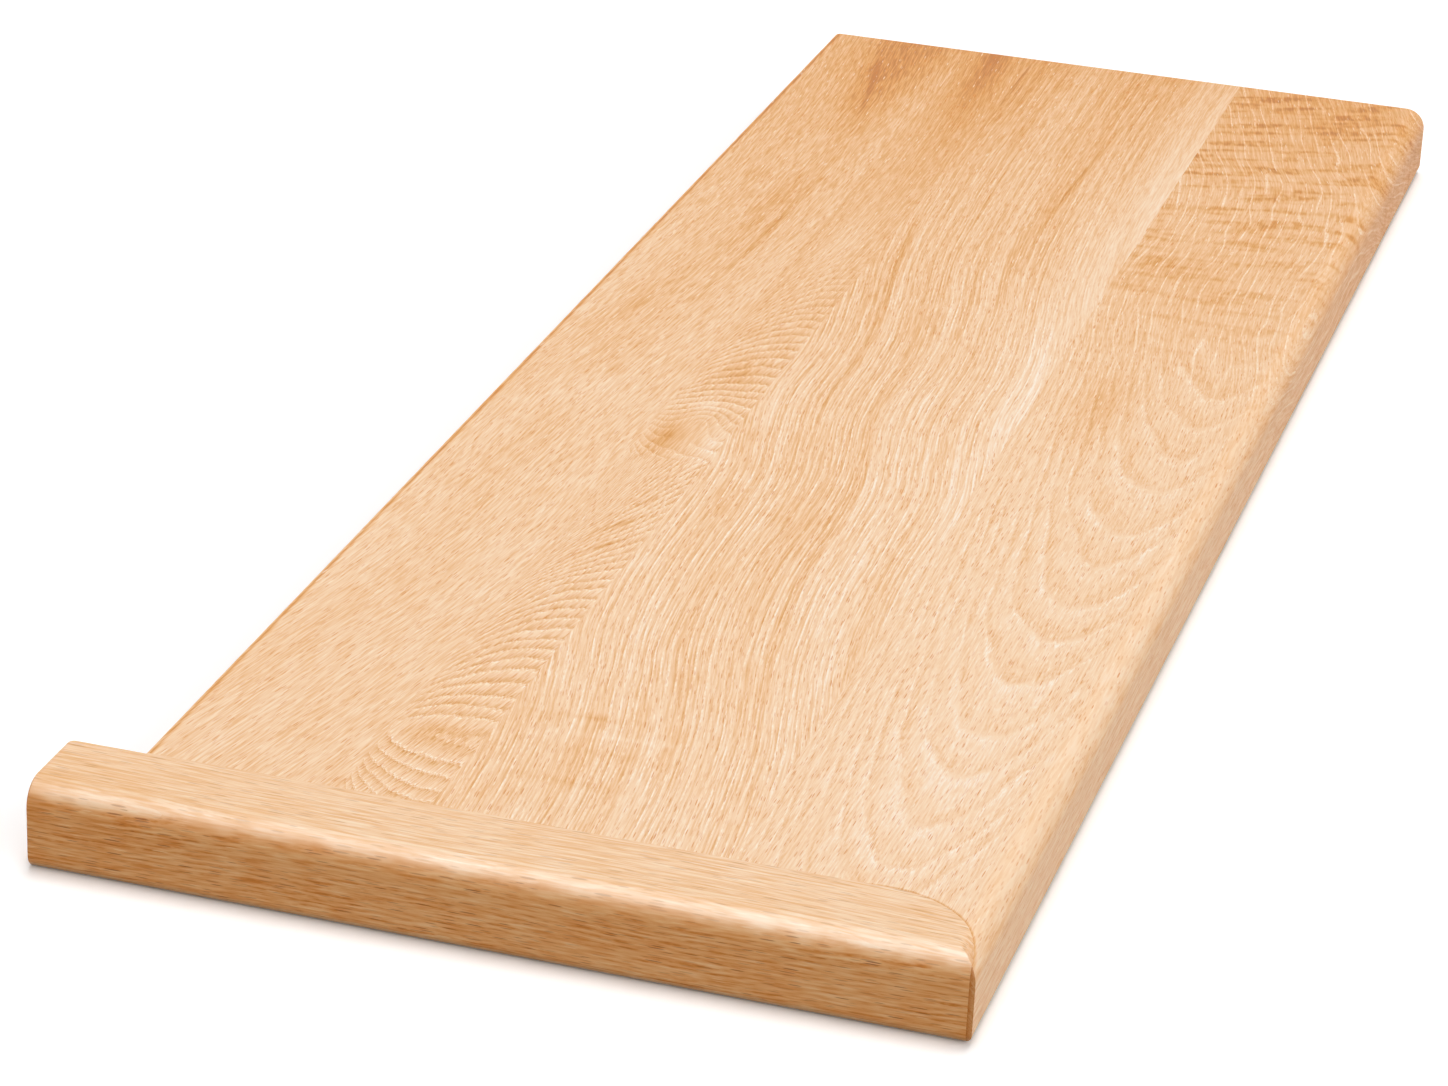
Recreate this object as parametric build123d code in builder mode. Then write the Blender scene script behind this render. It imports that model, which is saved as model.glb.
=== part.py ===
from build123d import *
import os

# Solid hardwood stair tread with a return nosing across its open end, lying on its
# underside. +X runs along the tread from the return to the plain end, +Y from the nosing
# to the back edge, +Z up. The origin is the middle of the footprint, on the underside.
# All sizes are millimetres.

# Driving sizes of the glued-up tread
tread_length = 900.0
thickness = 32.0
front_board_width = 92.0
middle_board_width = 105.0
narrow_board_width = 33.0
back_board_width = 70.0

# Driving sizes of the return: its width, how far it runs on behind the tread, and the
# feather of front board that wraps its rounded front end
return_width = 36.0
return_overhang = 28.0
feather = 2.0

# Moulded nosing profile, the same along the front edge and round the open end
nose_top_radius = 9.5
nose_bottom_radius = 4.5

# Sanded upright corners and sawn edges
corner_radius = 2.5
arris = 0.8

# Places worked out from the sizes
tread_depth = front_board_width + middle_board_width + narrow_board_width + back_board_width
overall_depth = tread_depth + return_overhang
x_open = -tread_length / 2
x_plain = tread_length / 2
x_joint = x_open + return_width
y_nose = -overall_depth / 2
y_middle = y_nose + front_board_width
y_narrow = y_middle + middle_board_width
y_rear = y_narrow + narrow_board_width
y_back = y_rear + back_board_width
y_return_end = overall_depth / 2
y_round = y_nose + feather + return_width


def nosed_section(corner, inward, along, run):
    """Upright section with its nosed edge standing on corner, solid for run inward."""
    with BuildSketch(Plane(origin=corner, x_dir=inward, z_dir=along)) as section:
        Rectangle(run, thickness, align=(Align.MIN, Align.MIN))
        nosed_corners = section.vertices().group_by(Axis.X)[0].sort_by(Axis.Y)
        fillet(nosed_corners[-1], nose_top_radius)
        nosed_corners = section.vertices().group_by(Axis.X)[0].sort_by(Axis.Y)
        fillet(nosed_corners[0], nose_bottom_radius)
    return section.sketch


# Plan of the return: a strip whose front end is a full quarter round, so that the front
# board wraps it and no end grain of the return shows along the nosing.
with BuildSketch() as return_plan:
    with BuildLine():
        CenterArc((x_open, y_round), return_width, -90, 90)
        Polyline(
            (x_joint, y_round),
            (x_joint, y_return_end),
            (x_open, y_return_end),
            (x_open, y_round - return_width),
        )
    make_face()

# Outer form of the finished tread. It is glued up square and moulded afterwards, so the
# nosing profile crosses every joint, and its two runs meet in a crease at the corner.
with BuildPart() as tread_form:
    with BuildSketch():
        with Locations((x_open, y_nose)):
            Rectangle(tread_length, tread_depth, align=(Align.MIN, Align.MIN))
            Rectangle(return_width, overall_depth, align=(Align.MIN, Align.MIN))
    extrude(amount=thickness)

    front_run = nosed_section((x_open, y_nose, 0), (0, 1, 0), (1, 0, 0), overall_depth)
    extrude(front_run, amount=tread_length, mode=Mode.INTERSECT)
    end_run = nosed_section((x_open, y_return_end, 0), (1, 0, 0), (0, -1, 0), tread_length)
    extrude(end_run, amount=overall_depth, mode=Mode.INTERSECT)

    # The free upright corners at the back: one on the plain end, one on the return.
    uprights = tread_form.edges().filter_by(Axis.Z)
    plain_corner = uprights.group_by(Axis.X)[-1].sort_by(Axis.Y)[-1]
    return_corner = uprights.group_by(Axis.Y)[-1].sort_by(Axis.X)[-1]
    fillet([plain_corner, return_corner], corner_radius)

    # The sawn ends are sanded round their whole outline, and the arris follows the
    # corners on to the back edge. The uprights left out run smoothly into those corners.
    plain_end = tread_form.faces().filter_by(Axis.X).sort_by(Axis.X)[-1]
    return_end = tread_form.faces().filter_by(Axis.Y).sort_by(Axis.Y)[-1]
    sawn_edges = plain_end.edges().sort_by(Axis.Y)[:-1] + return_end.edges().sort_by(Axis.X)[:-1]
    fillet(sawn_edges, arris)

# The five pieces of wood are the shares of that form on each side of the glue lines.
with BuildPart() as return_nosing:
    add(tread_form)
    extrude(return_plan.sketch, amount=thickness, mode=Mode.INTERSECT)

with BuildPart() as front_board:
    add(tread_form)
    with BuildSketch():
        with Locations((x_open, y_nose)):
            Rectangle(tread_length, front_board_width, align=(Align.MIN, Align.MIN))
        add(return_plan.sketch, mode=Mode.SUBTRACT)
    extrude(amount=thickness, mode=Mode.INTERSECT)

with BuildPart() as middle_board:
    add(tread_form)
    with BuildSketch():
        with Locations((x_joint, y_middle)):
            Rectangle(x_plain - x_joint, middle_board_width, align=(Align.MIN, Align.MIN))
    extrude(amount=thickness, mode=Mode.INTERSECT)

with BuildPart() as narrow_board:
    add(tread_form)
    with BuildSketch():
        with Locations((x_joint, y_narrow)):
            Rectangle(x_plain - x_joint, narrow_board_width, align=(Align.MIN, Align.MIN))
    extrude(amount=thickness, mode=Mode.INTERSECT)

with BuildPart() as back_board:
    add(tread_form)
    with BuildSketch():
        with Locations((x_joint, y_rear)):
            Rectangle(x_plain - x_joint, back_board_width, align=(Align.MIN, Align.MIN))
    extrude(amount=thickness, mode=Mode.INTERSECT)

return_nosing.part.label = "return_nosing"
front_board.part.label = "front_board"
middle_board.part.label = "middle_board"
narrow_board.part.label = "narrow_board"
back_board.part.label = "back_board"

os.makedirs("parts", exist_ok=True)
export_step(return_nosing.part, "parts/return_nosing.step")
export_step(front_board.part, "parts/front_board.step")
export_step(middle_board.part, "parts/middle_board.step")
export_step(narrow_board.part, "parts/narrow_board.step")
export_step(back_board.part, "parts/back_board.step")
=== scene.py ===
import math
import bpy
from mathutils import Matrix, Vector


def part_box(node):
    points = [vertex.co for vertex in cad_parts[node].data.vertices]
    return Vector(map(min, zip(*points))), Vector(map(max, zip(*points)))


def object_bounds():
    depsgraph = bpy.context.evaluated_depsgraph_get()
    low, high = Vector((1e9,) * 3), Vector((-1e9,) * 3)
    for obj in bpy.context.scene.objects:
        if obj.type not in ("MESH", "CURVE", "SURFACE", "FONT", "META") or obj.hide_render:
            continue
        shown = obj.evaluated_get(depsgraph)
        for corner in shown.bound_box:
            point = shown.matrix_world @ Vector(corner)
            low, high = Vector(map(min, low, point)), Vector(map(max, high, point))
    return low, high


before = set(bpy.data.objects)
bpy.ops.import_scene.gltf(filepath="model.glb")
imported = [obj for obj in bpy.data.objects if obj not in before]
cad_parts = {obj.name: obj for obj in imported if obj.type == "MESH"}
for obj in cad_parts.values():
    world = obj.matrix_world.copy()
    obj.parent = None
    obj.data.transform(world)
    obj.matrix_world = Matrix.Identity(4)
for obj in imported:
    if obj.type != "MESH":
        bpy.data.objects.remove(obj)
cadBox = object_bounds()
print("frame loaded:", sorted(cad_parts))

# Sizes of the tread in mm, from the frame
nearCorner = cadBox[0] * 1000      # where the near end, the nosing and the underside meet
treadLength = round((cadBox[1] - cadBox[0]).x * 1000)
treadHeight = round((cadBox[1] - cadBox[0]).z * 1000)
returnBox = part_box("return_nosing")
returnWidth = round((returnBox[1] - returnBox[0]).x * 1000)
feather = round((returnBox[0] - cadBox[0]).y * 1000)      # front board before the return's rounded end
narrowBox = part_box("narrow_board")
narrowFoot = round((narrowBox[0] - cadBox[0]).y * 1000)      # its glue line with the middle board


def srgb(hexCode):
    # a colour written as it looks on screen, turned to the linear values that the shaders work in
    parts = [int(hexCode[i:i + 2], 16) / 255 for i in (0, 2, 4)]
    return [p / 12.92 if p < 0.04045 else ((p + 0.055) / 1.055) ** 2.4 for p in parts] + [1.0]


def addNode(tree, kind, inputs=(), **settings):
    # settings are the node's options; inputs are numbers, sockets or other nodes, by place or by name
    # (places 2 and 3 of a Mix node are its two numbers, 6 and 7 its two colours)
    node = tree.nodes.new("ShaderNode" + kind)
    for name, value in settings.items():
        setattr(node, name, value)
    for key, value in inputs.items() if isinstance(inputs, dict) else enumerate(inputs):
        if isinstance(value, bpy.types.Node):
            value = value.outputs[0]
        if isinstance(value, bpy.types.NodeSocket):
            tree.links.new(value, node.inputs[key])
        else:
            node.inputs[key].default_value = value
    return node


def setStops(ramp, stops):
    # a new ramp has two stops, which become the first and the last
    for element, (position, colour) in zip(ramp.elements, (stops[0], stops[-1])):
        element.position = position
        element.color = colour
    for position, colour in stops[1:-1]:
        ramp.elements.new(position).color = colour


# Wood: where a point lies in its board
def woodPlaces(tree, grain):
    # distances in mm: along the board, across it, and down from the walking surface
    place = addNode(tree, "TexCoord").outputs["Object"]
    place = addNode(tree, "VectorMath", [place, (1000, 1000, 1000), -nearCorner], operation="MULTIPLY_ADD")
    x, y, z = addNode(tree, "SeparateXYZ", [place]).outputs
    depth = addNode(tree, "Math", [treadHeight, z], operation="SUBTRACT")
    return (y, x, depth) if grain == "Y" else (x, y, depth)


def softCloud(tree, along, across, depth, size):
    # a soft pattern, about 0.25 to 0.75, whose features are so many mm long, wide and deep; a plain number
    # as the depth picks a pattern that is the same at every depth
    place = addNode(tree, "CombineXYZ", [along, across, depth])
    place = addNode(tree, "VectorMath", [place, [1 / s for s in size]], operation="MULTIPLY")
    return addNode(tree, "TexNoise", {"Vector": place, "Scale": 1, "Detail": 1, "Roughness": 0.6})


def longOval(tree, along, across, spot):
    # 1 in the middle of a long oval, 0 at its edge
    x, y, halfLength, halfWidth, turn = spot[:5]
    place = addNode(tree, "CombineXYZ", [along, across, 0.0])
    place = addNode(tree, "Mapping", {"Vector": place, "Location": (x, y, 0),
                                      "Rotation": (0, 0, math.radians(turn)),
                                      "Scale": (halfLength, halfWidth, 1)}, vector_type="TEXTURE")
    return addNode(tree, "TexGradient", [place], gradient_type="QUADRATIC_SPHERE").outputs["Fac"]


climbTop = 100      # mm across the board at the top of the climb curve


def grainLane(tree, board, along, across, depth):
    # the place across the board with the drift of the grain taken out: equal values follow the grain
    share = addNode(tree, "Math", [along, treadLength], operation="DIVIDE")
    curve = addNode(tree, "FloatCurve", {"Value": share})
    stops = [(place / treadLength, height / climbTop) for place, height in board["climb"]]
    points = curve.mapping.curves[0].points
    points[0].location = stops[0]
    points[1].location = stops[-1]
    for stop in stops[1:-1]:
        points.new(*stop)
    curve.mapping.update()
    lane = addNode(tree, "Math", [curve, -climbTop, across], operation="MULTIPLY_ADD")
    waver = softCloud(tree, along, lane, board["seed"], board["waverSize"])
    lane = addNode(tree, "Math", [waver, board["waver"], lane], operation="MULTIPLY_ADD")
    return addNode(tree, "Math", [depth, board["ringTilt"], lane], operation="MULTIPLY_ADD")


def archRings(tree, board, along, across, depth):
    # front board: U-shaped arches that open towards the plain end
    arch = board["arches"]
    middle = addNode(tree, "Math", [along, arch["lineSlope"], arch["lineStart"]], operation="MULTIPLY_ADD")
    off = addNode(tree, "Math", [across, middle], operation="SUBTRACT")
    bend = addNode(tree, "MapRange", [off, -arch["bendReach"], arch["bendReach"],
                                      arch["bendBelow"], arch["bendAbove"]])
    square = addNode(tree, "Math", [off, off], operation="MULTIPLY")
    back = addNode(tree, "Math", [square, bend], operation="MULTIPLY")
    ring = addNode(tree, "Math", [along, back], operation="SUBTRACT")
    return addNode(tree, "Math", [depth, arch["depthStep"], ring], operation="MULTIPLY_ADD")


def fanRings(tree, board, along, across, depth):
    # narrow board: loops and arcs that stand on the glue line and lean over, then rings about the pin knot
    fan = board["fan"]
    share = addNode(tree, "Math", [across, 1 / fan["height"], -fan["foot"] / fan["height"]],
                    operation="MULTIPLY_ADD")
    square = addNode(tree, "Math", [share, share], operation="MULTIPLY")
    closing = addNode(tree, "Math", [1.0, square], operation="SUBTRACT")
    closing = addNode(tree, "Math", [closing, 0.5], operation="POWER")

    loops = addNode(tree, "Math", [along, fan["centre"]], operation="SUBTRACT")
    loops = addNode(tree, "Math", [loops, loops, fan["loop"] ** 2], operation="MULTIPLY_ADD")
    loops = addNode(tree, "Math", [loops, 0.5], operation="POWER")
    lean = addNode(tree, "MapRange", [along, fan["leanFrom"], fan["leanFull"],
                                      0.0, fan["lean"] * fan["height"]])
    loops = addNode(tree, "Math", [share, lean, loops], operation="MULTIPLY_ADD")

    knotRings = addNode(tree, "Math", [along, fan["knot"][0]], operation="SUBTRACT")
    nearKnot = addNode(tree, "Math", [along, fan["switch"]], operation="GREATER_THAN")
    reach = addNode(tree, "Mix", {"Factor": nearKnot, 2: loops, 3: knotRings})
    ring = addNode(tree, "Math", [reach, closing], operation="DIVIDE")
    knot = longOval(tree, along, across, fan["knot"])
    ring = addNode(tree, "Math", [knot, -fan["knotPull"], ring], operation="MULTIPLY_ADD")
    return addNode(tree, "Math", [depth, fan["depthStep"], ring], operation="MULTIPLY_ADD")


def woodFields(tree, board):
    # everything that the patterns are worked out from, at each point of the board
    along, across, depth = woodPlaces(tree, board["grain"])
    lane = grainLane(tree, board, along, across, depth)
    rings = board["rings"](tree, board, along, across, depth) if board["rings"] else lane

    # how upright a face is, from 0 to 1, and how squarely it is sawn across the grain
    normal = addNode(tree, "SeparateXYZ", [addNode(tree, "TexCoord").outputs["Normal"]]).outputs
    side = addNode(tree, "Math", [normal[2], normal[2]], operation="MULTIPLY")
    side = addNode(tree, "MapRange", [side, board["sideStart"], board["sideFull"], 0.0, 1.0])
    endways = normal[1] if board["grain"] == "Y" else normal[0]
    sawn = addNode(tree, "Math", [endways, endways], operation="MULTIPLY")

    # fibres, which also put teeth on the rings, and a slow wobble of the rings
    fibre = softCloud(tree, along, lane, depth, board["fibreSize"])
    fibre = addNode(tree, "MapRange", [fibre, *board["fibreRange"], -0.5, 0.5],
                    interpolation_type="SMOOTHSTEP")
    rings = addNode(tree, "Math", [fibre, board["jag"], rings], operation="MULTIPLY_ADD")
    slow = softCloud(tree, along, across, depth, board["wobbleSize"])
    rings = addNode(tree, "Math", [slow, board["wobble"], rings], operation="MULTIPLY_ADD")

    # calm wood, with few lines and pores, and how clearly the growth lines show elsewhere
    lively = 1.0
    for spot in board["calm"]:
        calm = addNode(tree, "Math", [longOval(tree, along, across, spot), -spot[5], 1.0],
                       operation="MULTIPLY_ADD", use_clamp=True)
        lively = addNode(tree, "Math", [calm, lively], operation="MULTIPLY")
    clear = softCloud(tree, along, lane, board["seed"] + board["faintSeed"], board["faintSize"])
    clear = addNode(tree, "MapRange", [clear, *board["faintRange"], board["faint"], 1.0])
    grit = softCloud(tree, along, lane, depth, board["gritSize"])
    grit = addNode(tree, "MapRange", [grit, *board["gritRange"], 1 - board["grit"], 1 + board["grit"]])
    clear = addNode(tree, "Math", [clear, grit], operation="MULTIPLY")
    clear = addNode(tree, "Math", [clear, lively], operation="MULTIPLY")
    return {"along": along, "across": across, "depth": depth, "lane": lane, "rings": rings, "side": side,
            "sawn": sawn, "fibre": fibre, "lively": lively, "clear": clear}


# Wood: its tone, from 0, dark, to 1, pale
def streakShape(tree, layer, field, noise):
    # streaks of uneven width
    return addNode(tree, "MapRange", [noise, 0.5 - layer["edge"], 0.5 + layer["edge"], -0.5, 0.5])


def growthShape(tree, layer, field, noise):
    # growth lines: each is pale and thin, and the wood is brownest just beyond it and pales towards the next
    phase = addNode(tree, "Math", [field, layer["spacing"]], operation="DIVIDE")
    phase = addNode(tree, "Math", [noise, layer["unevenness"], phase], operation="MULTIPLY_ADD")
    phase = addNode(tree, "Math", [phase], operation="FRACT")
    line = layer["line"] / layer["spacing"]
    shade = layer["shade"]
    brownest = 0.5 - shade
    levels = [
        (0, brownest + 8 * layer["soft"] * shade),      # a crisp line drops to brown at once
        (layer["soft"], brownest),
        (0.5, 0.5),
        (1 - 1.6 * line, 0.5 + 0.5 * shade),            # the foot of the next line
        (1 - line, 1.0),
        (1, 0.9),
    ]
    shape = addNode(tree, "ValToRGB", [phase])
    setStops(shape.color_ramp, [(position, (level, level, level, 1)) for position, level in levels])
    return addNode(tree, "Math", [shape, -0.5], operation="ADD")


def layOver(tree, board, wood, layer, tone):
    # one layer of streaks or growth lines over the tone so far
    field = wood[layer["follow"]]
    noise = softCloud(tree, wood["along"], field, board["seed"] + layer["spacing"],
                      (layer["reach"], layer["width"], 1))
    shape = layer["shape"](tree, layer, field, noise)
    fromPlace, fromStrength, toPlace, toStrength = layer["strength"]
    strength = addNode(tree, "MapRange", [wood["along"], fromPlace, toPlace, fromStrength, toStrength])
    if layer["shape"] is growthShape:
        strength = addNode(tree, "Math", [strength, wood["clear"]], operation="MULTIPLY")
    if "uprightOnly" in layer:
        strength = addNode(tree, "Math", [strength, wood["side"]], operation="MULTIPLY")
    if "fade" in layer:
        shown = addNode(tree, "MapRange", [wood["across"], *layer["fade"], 0.0, 1.0])
        strength = addNode(tree, "Math", [strength, shown], operation="MULTIPLY")
    return addNode(tree, "Math", [shape, strength, tone], operation="MULTIPLY_ADD")


def glueLine(tree, board, wood, tone):
    # a thin brown line where the front board wraps the rounded end of the return
    glue = board["glueLine"]
    place = addNode(tree, "CombineXYZ", [wood["along"], wood["across"], 0.0])
    away = addNode(tree, "VectorMath", [place, glue["centre"]], operation="DISTANCE").outputs["Value"]
    away = addNode(tree, "Math", [away, glue["radius"]], operation="SUBTRACT")
    away = addNode(tree, "Math", [away], operation="ABSOLUTE")
    line = addNode(tree, "MapRange", [away, 0.0, glue["width"], glue["strength"], 0.0])
    return addNode(tree, "Math", [tone, line], operation="SUBTRACT")


def tigerFigure(tree, board, wood, tone):
    # soft brown bands across the grain, irregular, broken up between the fibres
    tiger = board["tiger"]
    along = wood["along"]
    lean = addNode(tree, "MapRange", [along, tiger["leanFrom"], treadLength, 0.0, tiger["lean"]])
    band = addNode(tree, "Math", [wood["across"], lean, along], operation="MULTIPLY_ADD")
    band = softCloud(tree, band, wood["lane"], 0.0, (tiger["pitch"] / 2, tiger["reach"], 1))
    band = addNode(tree, "MapRange", [band, *tiger["bandRange"], 0.0, 1.0], interpolation_type="SMOOTHSTEP")
    clot = softCloud(tree, along, wood["lane"], wood["depth"], tiger["clotSize"])
    clot = addNode(tree, "MapRange", [clot, *tiger["clotRange"], tiger["betweenClots"], 1.0])
    band = addNode(tree, "Math", [band, clot], operation="MULTIPLY")
    strength = addNode(tree, "MapRange", [along, tiger["from"], tiger["full"], 0.0, tiger["strength"]])
    upright = addNode(tree, "MapRange", [wood["side"], 0.0, 1.0, 1.0, tiger["onSide"]])
    strength = addNode(tree, "Math", [strength, upright], operation="MULTIPLY")
    band = addNode(tree, "Math", [band, strength], operation="MULTIPLY")
    return addNode(tree, "Math", [tone, band], operation="SUBTRACT")


def woodTone(tree, board, wood):
    tone = addNode(tree, "Math", [wood["fibre"], board["fibreStrength"], board["tone"]],
                   operation="MULTIPLY_ADD")
    for layer in board["layers"]:
        tone = layOver(tree, board, wood, layer, tone)

    # the far end is browner, its sawn face less so
    far = addNode(tree, "MapRange", [wood["along"], board["farFrom"], treadLength, 0.0, 1.0])
    tone = addNode(tree, "Math", [far, -board["farBrown"], tone], operation="MULTIPLY_ADD")
    sawnFar = addNode(tree, "Math", [wood["sawn"], far], operation="MULTIPLY")
    tone = addNode(tree, "Math", [sawnFar, board["sawnPaler"], tone], operation="MULTIPLY_ADD")

    # pale and brown patches, and veins that follow the grain
    for spot in board["patches"]:
        patch = longOval(tree, wood["along"], wood["across"], spot)
        tone = addNode(tree, "Math", [patch, spot[5], tone], operation="MULTIPLY_ADD")
    for spot in board["veins"]:
        vein = longOval(tree, wood["along"], wood["lane"], spot)
        tone = addNode(tree, "Math", [vein, spot[5], tone], operation="MULTIPLY_ADD")
    if "glueLine" in board:
        tone = glueLine(tree, board, wood, tone)
    if "tiger" in board:
        tone = tigerFigure(tree, board, wood, tone)
    return tone


def pores(tree, board, wood):
    # open vessels cut lengthwise: how strongly one shows, and the colour inside it
    place = addNode(tree, "CombineXYZ", [wood["along"], wood["lane"], wood["depth"]])
    place = addNode(tree, "VectorMath", [place, [1 / s for s in board["poreSize"]]], operation="MULTIPLY")
    cells = addNode(tree, "TexVoronoi", {"Vector": place, "Scale": 1})
    chance = addNode(tree, "SeparateColor", [cells.outputs["Color"]])
    radius = addNode(tree, "MapRange", [chance.outputs["Red"], 0.0, 1.0, *board["poreRadius"]])
    pore = addNode(tree, "Math", [radius, cells.outputs["Distance"]], operation="SUBTRACT")
    pore = addNode(tree, "MapRange", [pore, 0.0, board["poreEdge"], 0.0, 1.0])

    strength = addNode(tree, "Math", [chance.outputs["Blue"], board["poreRarity"]], operation="POWER")
    strength = addNode(tree, "MapRange", [strength, 0.0, 1.0, board["poreFaint"], board["poreStrength"]])
    pore = addNode(tree, "Math", [pore, strength], operation="MULTIPLY")
    kept = addNode(tree, "Math", [wood["lively"], 1 - board["calmPores"], board["calmPores"]],
                   operation="MULTIPLY_ADD")
    pore = addNode(tree, "Math", [pore, kept], operation="MULTIPLY")
    shown = addNode(tree, "MapRange", [wood["side"], 0.0, 1.0, board["topPores"], 1.0])
    pore = addNode(tree, "Math", [pore, shown], operation="MULTIPLY")

    # pale pores are painted highlight of the lit ridges beside them
    paintedSheen = addNode(tree, "Math", [chance.outputs["Green"], 1 - board["paintedSheenShare"]],
                    operation="GREATER_THAN")
    inside = addNode(tree, "Mix", {"Factor": paintedSheen, 6: srgb(board["poreColour"]),
                                   7: srgb(board["paintedSheenColour"])}, data_type="RGBA").outputs[2]
    return pore, inside


# oak from its brown streaks to its palest lines
woodColours = ["C4782E", "DE9B4E", "EDBB88", "F7D5B1", "FDECDA"]


def oakWood(name, board):
    # sanded oak under a clear satin coat: warm peach brown, fine fibre streaks, short brown pore dashes along
    # the grain and thin pale growth lines
    material = bpy.data.materials.new(name)
    material.use_nodes = True
    tree = material.node_tree
    bsdf = tree.nodes["Principled BSDF"]
    wood = woodFields(tree, board)
    tone = woodTone(tree, board, wood)
    pore, inside = pores(tree, board, wood)

    colour = addNode(tree, "ValToRGB", [tone])
    steps = len(woodColours) - 1
    setStops(colour.color_ramp, [(step / steps, srgb(code)) for step, code in enumerate(woodColours)])
    colour = addNode(tree, "Mix", {"Factor": pore, 6: colour, 7: inside}, data_type="RGBA").outputs[2]

    # upright faces are deeper in colour, partly from their grain and finish and partly as painted shade of
    # faces turned from the light; sawn ends take up more finish, so they are deeper too
    longSide = addNode(tree, "Math", [wood["side"], wood["sawn"]], operation="SUBTRACT", use_clamp=True)
    for amount, tint in ((longSide, board["sideGrainAndShadeTint"]), (wood["sawn"], board["sawnTint"])):
        colour = addNode(tree, "Mix", {"Factor": amount, 6: colour, 7: srgb(tint)}, data_type="RGBA",
                         blend_type="MULTIPLY").outputs[2]
    tree.links.new(colour, bsdf.inputs["Base Color"])

    # the coat is a little duller on the open brown wood and in the pores
    roughness = addNode(tree, "MapRange", [tone, 0.2, 0.9, board["brownRoughness"], board["paleRoughness"]])
    roughness = addNode(tree, "Math", [pore, board["poreRoughness"], roughness], operation="MULTIPLY_ADD")
    tree.links.new(roughness.outputs[0], bsdf.inputs["Roughness"])
    height = addNode(tree, "Math", [pore, -board["poreDepth"], wood["fibre"]], operation="MULTIPLY_ADD")
    bump = addNode(tree, "Bump", {"Height": height, "Strength": board["relief"], "Distance": 0.0002})
    tree.links.new(bump.outputs[0], bsdf.inputs["Normal"])
    bsdf.inputs["IOR"].default_value = 1.45      # clear lacquer on wood
    bsdf.inputs["Specular IOR Level"].default_value = 0.3
    return material


def alongBoard(strength):
    # a strength is one number, or from and to places with their strengths
    return strength if isinstance(strength, tuple) else (0, strength, treadLength, strength)


def streaks(width, strength, reach=160, crisp=False, **more):
    # streaks so many mm wide and long, soft or crisp
    return {"shape": streakShape, "spacing": width, "width": width, "strength": alongBoard(strength),
            "follow": "lane", "reach": reach, "edge": 0.12 if crisp else 0.5, **more}


def growth(spacing, line, strength, shade=0.25, follow="lane", reach=70, unevenness=1.2, soft=0.02, **more):
    # growth lines so many mm apart, each line so many mm wide
    return {"shape": growthShape, "spacing": spacing, "line": line, "strength": alongBoard(strength),
            "shade": shade, "follow": follow, "reach": reach, "width": 2.5 * spacing,
            "unevenness": unevenness, "soft": soft, **more}


# Boards. Lengths are in mm, places from the near face and the nosing. A climb lists places along the board
# and how far the grain has moved across it there. A patch, vein or calm spot is an oval: the place of its
# middle, half its length and width, its turn in degrees, and its strength. A size is that of a soft cloud,
# and a range is the part of the cloud's values in which the pattern comes up.
backClimb = [(0, 66), (120, 44), (250, 24), (400, 17), (500, 8), (620, 1), (720, 0), (900, 10)]

common = {
    "grain": "X",                                 # the way that the board runs
    "rings": None,                                # a function, where growth lines don't just follow the grain
    "ringTilt": 0.8,                              # how fast the pattern shifts down an upright face
    "waver": 4, "waverSize": (130, 34, 1),        # how far the grain wanders sideways
    "wobble": 5, "wobbleSize": (45, 14, 14),      # how far the rings wander
    "jag": 0.4,                                   # how long the teeth on the rings are
    "fibreSize": (15, 0.75, 0.75),                # coarser than real fibres, which are too fine to show
    "fibreRange": (0.36, 0.64), "fibreStrength": 0.17,
    "faint": 0.35, "faintSize": (60, 7, 1), "faintRange": (0.35, 0.6), "faintSeed": 3,      # faint stretches
    "grit": 0.5, "gritSize": (2.6, 0.8, 0.8), "gritRange": (0.38, 0.62),      # rough growth lines
    "calm": [], "patches": [], "veins": [],
    "farFrom": 350, "farBrown": 0.2, "sawnPaler": 0.25,
    "sideStart": 0.4, "sideFull": 0.05,           # where the side mask and its tint, grain colour and painted shade, come in, by the normal's z squared
    # the side tint is partly the grain's own colour and partly painted shade
    "sideGrainAndShadeTint": "FFF6E8", "sawnTint": "E6BD88",
    "poreSize": (7, 0.65, 0.65),                  # coarser than the real 0.3 mm, which is finer than a pixel
    "poreRadius": (0.22, 0.42), "poreEdge": 0.12,      # shares of that size
    "poreRarity": 4, "poreFaint": 0.28, "poreStrength": 0.7,      # most are faint, a few are strong
    "topPores": 1.0, "calmPores": 0.25,           # shares that show on the top and in calm wood
    "poreColour": "DA8228",
    "paintedSheenShare": 0.2, "paintedSheenColour": "FFF0DC",    # some pores are drawn pale: painted highlight of the lit ridges beside them
    "relief": 0.12, "poreDepth": 0.1,             # bump of the fibres, and the pores' share of it
    "brownRoughness": 0.48, "paleRoughness": 0.4, "poreRoughness": 0.2,
}

backBoard = {
    **common, "seed": 1.7, "tone": 0.63, "climb": backClimb,
    # the side tint starts on the slightest slope, which puts painted shade on the eased back edge
    "sideStart": 0.97, "sideGrainAndShadeTint": "F2C494",
    "layers": [streaks(1.2, 0.16, reach=16, crisp=True), streaks(6, 0.12, reach=120),
               streaks(26, 0.2, reach=300)],
    "patches": [
        (500, 276, 110, 12, -9, -0.15), (640, 258, 140, 11, -2, -0.2),
        (840, 262, 170, 30, 4, -0.25), (930, 250, 190, 70, 0, -0.3),
        (400, 265, 50, 28, -20, 0.12),
        (450, 298.5, 3000, 1.5, 0, -0.5),      # painted shade: a brown line beside the back arris, where its eased edge turns from the light
    ],
    "veins": [(615, 251, 160, 4, 0, -0.3), (440, 264, 60, 5, -12, -0.15),
              (830, 260, 110, 4, 4, -0.25), (830, 226, 110, 1.5, 0, 0.25)],
}

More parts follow.
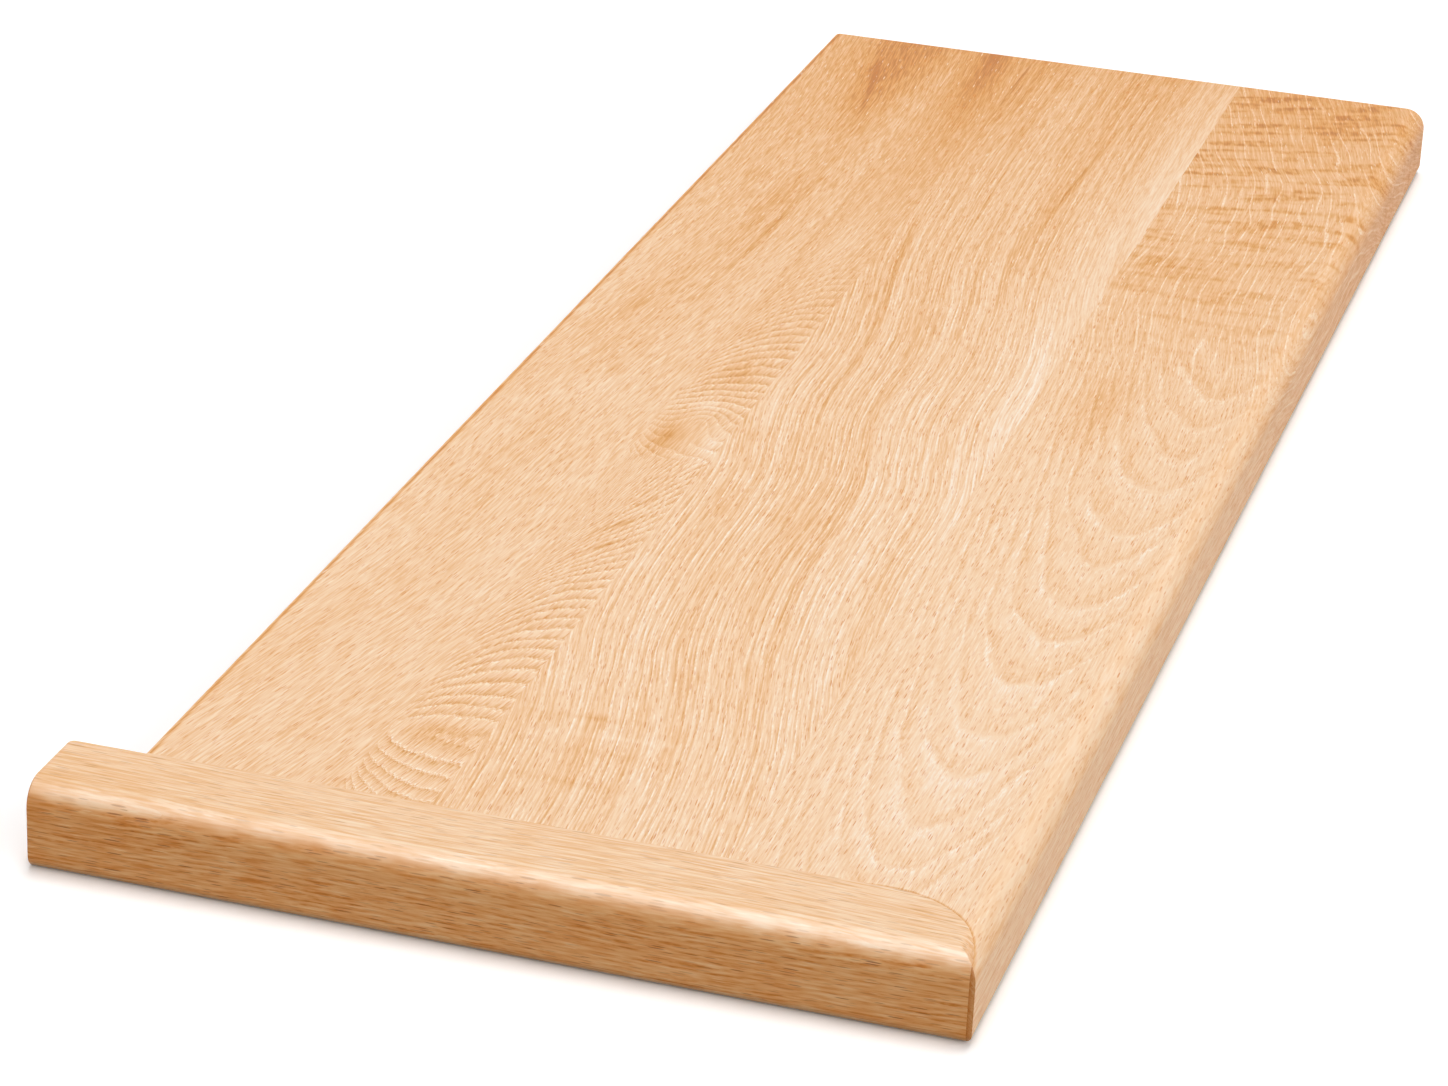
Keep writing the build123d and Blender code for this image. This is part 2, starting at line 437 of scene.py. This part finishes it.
narrowBoard = {
    **common, "seed": 3.1, "tone": 0.6, "farBrown": 0.27, "climb": backClimb,
    "rings": fanRings, "jag": 1.8, "wobble": 8, "faint": 0.7,
    "fan": {
        "centre": 85, "loop": 12,                      # the innermost loop by the return, and how blunt it is
        "foot": narrowFoot, "height": 40,              # where the arcs stand, and how far up they would close
        "lean": 2.2, "leanFrom": 215, "leanFull": 300,
        "knot": (385, 212, 40, 16, -3), "knotPull": 26,
        "switch": 345,                                 # from here on the rings are those of the knot
        "depthStep": 3,
    },
    "layers": [
        growth(9.5, 0.8, (480, 0.5, 620, 0.0), 0.45, "rings", unevenness=0.7, fade=(236, 225)),
        growth(3.4, 0.5, (480, 0.08, 620, 0.0), 0.2, "rings", fade=(232, 222)),
        growth(3.2, 0.6, (420, 0.0, 560, 0.15), 0.2),
        streaks(6, 0.15),
    ],
    "calm": [(372, 214, 44, 26, 0, 1.4)],
    "patches": [
        # brown and pale wood round the pin knot
        (366, 220, 36, 12, -2, -0.38), (404, 215, 10, 18, -8, 0.2),
        (364, 201, 44, 9, 0, 0.22), (440, 212, 34, 14, 0, -0.2),
        # the far end, and short brown streaks on the last arcs before the knot
        (900, 215, 210, 20, 2, -0.4), (600, 213, 110, 18, 0, 0.12),
        (255, 211, 26, 3, -33, -0.25), (277, 211, 28, 3, -31, -0.25), (300, 209, 30, 2.5, -24, -0.2),
    ],
}

middleBoard = {
    **common, "seed": 5.3, "tone": 0.62, "farBrown": 0.22,
    "climb": [(0, 0), (36, 2), (100, 9), (150, 19), (200, 29), (250, 34), (340, 37), (380, 43),
              (430, 50), (480, 51), (540, 58), (610, 68), (700, 74), (900, 78)],
    "layers": [
        growth(2.9, 0.5, (500, 0.34, 800, 0.2), 0.3, reach=55),
        growth(1.5, 0.4, (500, 0.2, 800, 0.08), 0.2, reach=35),
        streaks(1.1, 0.06, reach=16, crisp=True),
        streaks(2.4, 0.4, reach=120),
        streaks(14, 0.2, reach=400),
    ],
    "calm": [(760, 92, 560, 42, 0, 1.3)],
    "veins": [(410, 124, 330, 9, 0, -0.16), (590, 122, 160, 3, 0, -0.3), (620, 71, 340, 6, -2.2, -0.14),
              (720, 63, 200, 3, -3, -0.25), (300, 100, 260, 5, 0, -0.1)],
    "patches": [
        (740, 92, 520, 40, 0, 0.3), (420, 96, 240, 30, 2, 0.15), (200, 105, 160, 16, 8, 0.12),
        (80, 165, 60, 26, 0, -0.1), (117, 168, 6, 34, 6, -0.16), (92, 150, 7, 42, -4, -0.12),
        (105, 152, 5, 46, 4, 0.1), (68, 160, 6, 40, 0, -0.12),
        (860, 197, 280, 26, 0, -0.25), (940, 140, 120, 80, 0, -0.1),
    ],
}

frontBoard = {
    **common, "seed": 7.9, "tone": 0.69, "farBrown": 0.28, "sideGrainAndShadeTint": "FFEED4",
    "rings": archRings, "jag": 5, "wobble": 16, "waver": 3, "fibreStrength": 0.14,
    "climb": [(0, 3), (250, 0), (480, 4), (600, 17), (720, 18), (800, 36), (900, 62)],
    "arches": {"lineStart": 42, "lineSlope": -0.037,      # the line that their tops lie on
               "bendBelow": 0.11, "bendAbove": 0.085, "bendReach": 20, "depthStep": 4},
    "layers": [
        growth(37, 2.6, (480, 0.32, 620, 0.0), 0.4, "rings", unevenness=1.0, soft=0.1, fade=(2, 16)),
        growth(9, 1.2, (440, 0.14, 600, 0.04), 0.3, "rings", soft=0.1, fade=(2, 16)),
        growth(6, 0.6, (460, 0.0, 560, 0.5), 0.05, unevenness=2.0),
        streaks(1.2, 0.07, reach=20, crisp=True),
        streaks(5, 0.12, reach=100),
        streaks(1.2, 0.19, reach=16, crisp=True, uprightOnly=True),
    ],
    "glueLine": {"centre": (0, feather + returnWidth, 0), "radius": returnWidth,
                 "width": 1.2, "strength": 0.42},
    "tiger": {
        "pitch": 20, "reach": 40, "bandRange": (0.42, 0.72),
        "from": 480, "full": 740, "strength": 0.36, "onSide": 0.4,
        "leanFrom": 550, "lean": 0.55,
        "clotSize": (10, 3.6, 3.6), "clotRange": (0.4, 0.56), "betweenClots": 0.3,
    },
    "patches": [(120, 40, 220, 70, 0, 0.1), (920, 45, 220, 90, 0, -0.15), (465, 66, 90, 22, 0, -0.2),
                (620, 60, 140, 70, 0, -0.1)],
}

returnNosing = {
    **common, "grain": "Y", "seed": 9.2, "tone": 0.62, "relief": 0.03,
    # deeper side tint: the near face's grain colour, and painted shade of that face and its rounded edge
    "sideStart": 0.62, "sideGrainAndShadeTint": "FFE0B4",
    "climb": [(0, 0), (100, 3), (200, 1), (328, 5), (900, 5)],
    "poreSize": (9, 0.8, 0.8), "poreFaint": 0.25, "poreStrength": 0.9, "poreRarity": 2.2,
    "topPores": 0.4, "poreColour": "A8622C",
    "patches": [(335, 10, 120, 60, 0, -0.12)],      # browner towards the end behind the tread
    "layers": [
        growth(2.4, 0.5, 0.15, 0.3, reach=30),
        streaks(1.2, 0.15, reach=20, crisp=True),
        streaks(5, 0.13, reach=90),
        streaks(0.9, 0.25, reach=10, crisp=True, uprightOnly=True),
        growth(1.6, 0.5, -0.4, 0.0, reach=18, unevenness=1.3, uprightOnly=True),
    ],
}

boards = {"back_board": backBoard, "narrow_board": narrowBoard, "middle_board": middleBoard,
          "front_board": frontBoard, "return_nosing": returnNosing}
for nodeName, board in boards.items():
    finish = oakWood("satin oak " + nodeName.replace("_", " "), board)
    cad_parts[nodeName].material_slots[0].material = finish
print("wood finished:", len(boards), "pieces")

# Studio
studio = {
    "key": {"strength": 1.45, "from": (0.22, 0.0, 0.97), "angle": 26, "shadow": True},
    # the fill is for the nosing side
    "fill": {"strength": 0.99, "from": (-0.46, -0.8, 0.5), "angle": 60, "shadow": False},
    "glint": {"power": 78, "size": 1.2, "at": (-0.9, 0.15, 1.33), "to": (-0.45, -0.08, 0.03)},
    "sky": 0.385,
    "floorSize": 12,
    "floorLift": 0.0001,      # 0.1 mm, so that the floor and the underside never share a plane
    "floorBounce": 0.35,      # how pale the floor is to the light that it throws back
    "floorWhite": 1.17,       # how pale it is to look at
}


def seenRays(tree):
    # 1 for what is looked at, straight or in a reflection or through glass, and 0 for the light on the object
    path = addNode(tree, "LightPath")
    seen = addNode(tree, "Math", [path.outputs["Is Camera Ray"], path.outputs["Is Glossy Ray"]],
                   operation="MAXIMUM")
    return addNode(tree, "Math", [seen, path.outputs["Is Transmission Ray"]], operation="MAXIMUM")


world = bpy.data.worlds.new("studio")
bpy.context.scene.world = world
world.use_nodes = True
tree = world.node_tree
strength = addNode(tree, "Mix", {"Factor": seenRays(tree), 2: studio["sky"], 3: 1.0}, data_type="FLOAT")
background = tree.nodes["Background"]
background.inputs["Color"].default_value = (1, 1, 1, 1)
tree.links.new(strength.outputs[0], background.inputs["Strength"])

reach = studio["floorSize"] / 2
lift = studio["floorLift"]
corners = [(-reach, -reach, lift), (reach, -reach, lift), (reach, reach, lift), (-reach, reach, lift)]
floorMesh = bpy.data.meshes.new("floor")
floorMesh.from_pydata(corners, [], [(0, 1, 2, 3)])
floor = bpy.data.objects.new("floor", floorMesh)
bpy.context.scene.collection.objects.link(floor)

# matt white paper, which keeps the object's shadow
paper = bpy.data.materials.new("white paper")
paper.use_nodes = True
floorMesh.materials.append(paper)
tree = paper.node_tree
tree.nodes.remove(tree.nodes["Principled BSDF"])
grey = [studio["floorBounce"]] * 3 + [1]
white = [studio["floorWhite"]] * 3 + [1]
paperColour = addNode(tree, "Mix", {"Factor": seenRays(tree), 6: grey, 7: white}, data_type="RGBA")
diffuse = addNode(tree, "BsdfDiffuse", {"Color": paperColour.outputs[2]})
tree.links.new(diffuse.outputs[0], tree.nodes["Material Output"].inputs["Surface"])

for lampName in ("key", "fill"):
    lampData = studio[lampName]
    lamp = bpy.data.lights.new(lampName, "SUN")
    lamp.energy = lampData["strength"]
    lamp.angle = math.radians(lampData["angle"])
    lamp.use_shadow = lampData["shadow"]
    lampObject = bpy.data.objects.new(lampName, lamp)
    lampObject.rotation_euler = Vector(lampData["from"]).to_track_quat("Z", "Y").to_euler()
    bpy.context.scene.collection.objects.link(lampObject)

# a soft box for the sheen on the rounded near edge: it adds to the reflections alone
glintData = studio["glint"]
glint = bpy.data.lights.new("glint", "AREA")
glint.energy = glintData["power"]
glint.size = glintData["size"]
glintObject = bpy.data.objects.new("glint", glint)
glintObject.location = glintData["at"]
glintAim = Vector(glintData["at"]) - Vector(glintData["to"])
glintObject.rotation_euler = glintAim.to_track_quat("Z", "Y").to_euler()
glintObject.visible_diffuse = False
bpy.context.scene.collection.objects.link(glintObject)
print("studio lit")

# Camera: its place in metres, its rotation in degrees and its lens in mm
camera = {"eye": (-1.675, -0.4268, 0.7339), "rotation": (65.778, -2.308, -72.933), "lens": 112.5}
cameraData = bpy.data.cameras.new("camera")
cameraData.lens = camera["lens"]
cameraData.sensor_width = 36
cameraObject = bpy.data.objects.new("camera", cameraData)
cameraObject.location = camera["eye"]
cameraObject.rotation_euler = [math.radians(angle) for angle in camera["rotation"]]
bpy.context.scene.collection.objects.link(cameraObject)
bpy.context.scene.camera = cameraObject
bpy.context.scene.view_settings.view_transform = "Standard"
print("camera set")
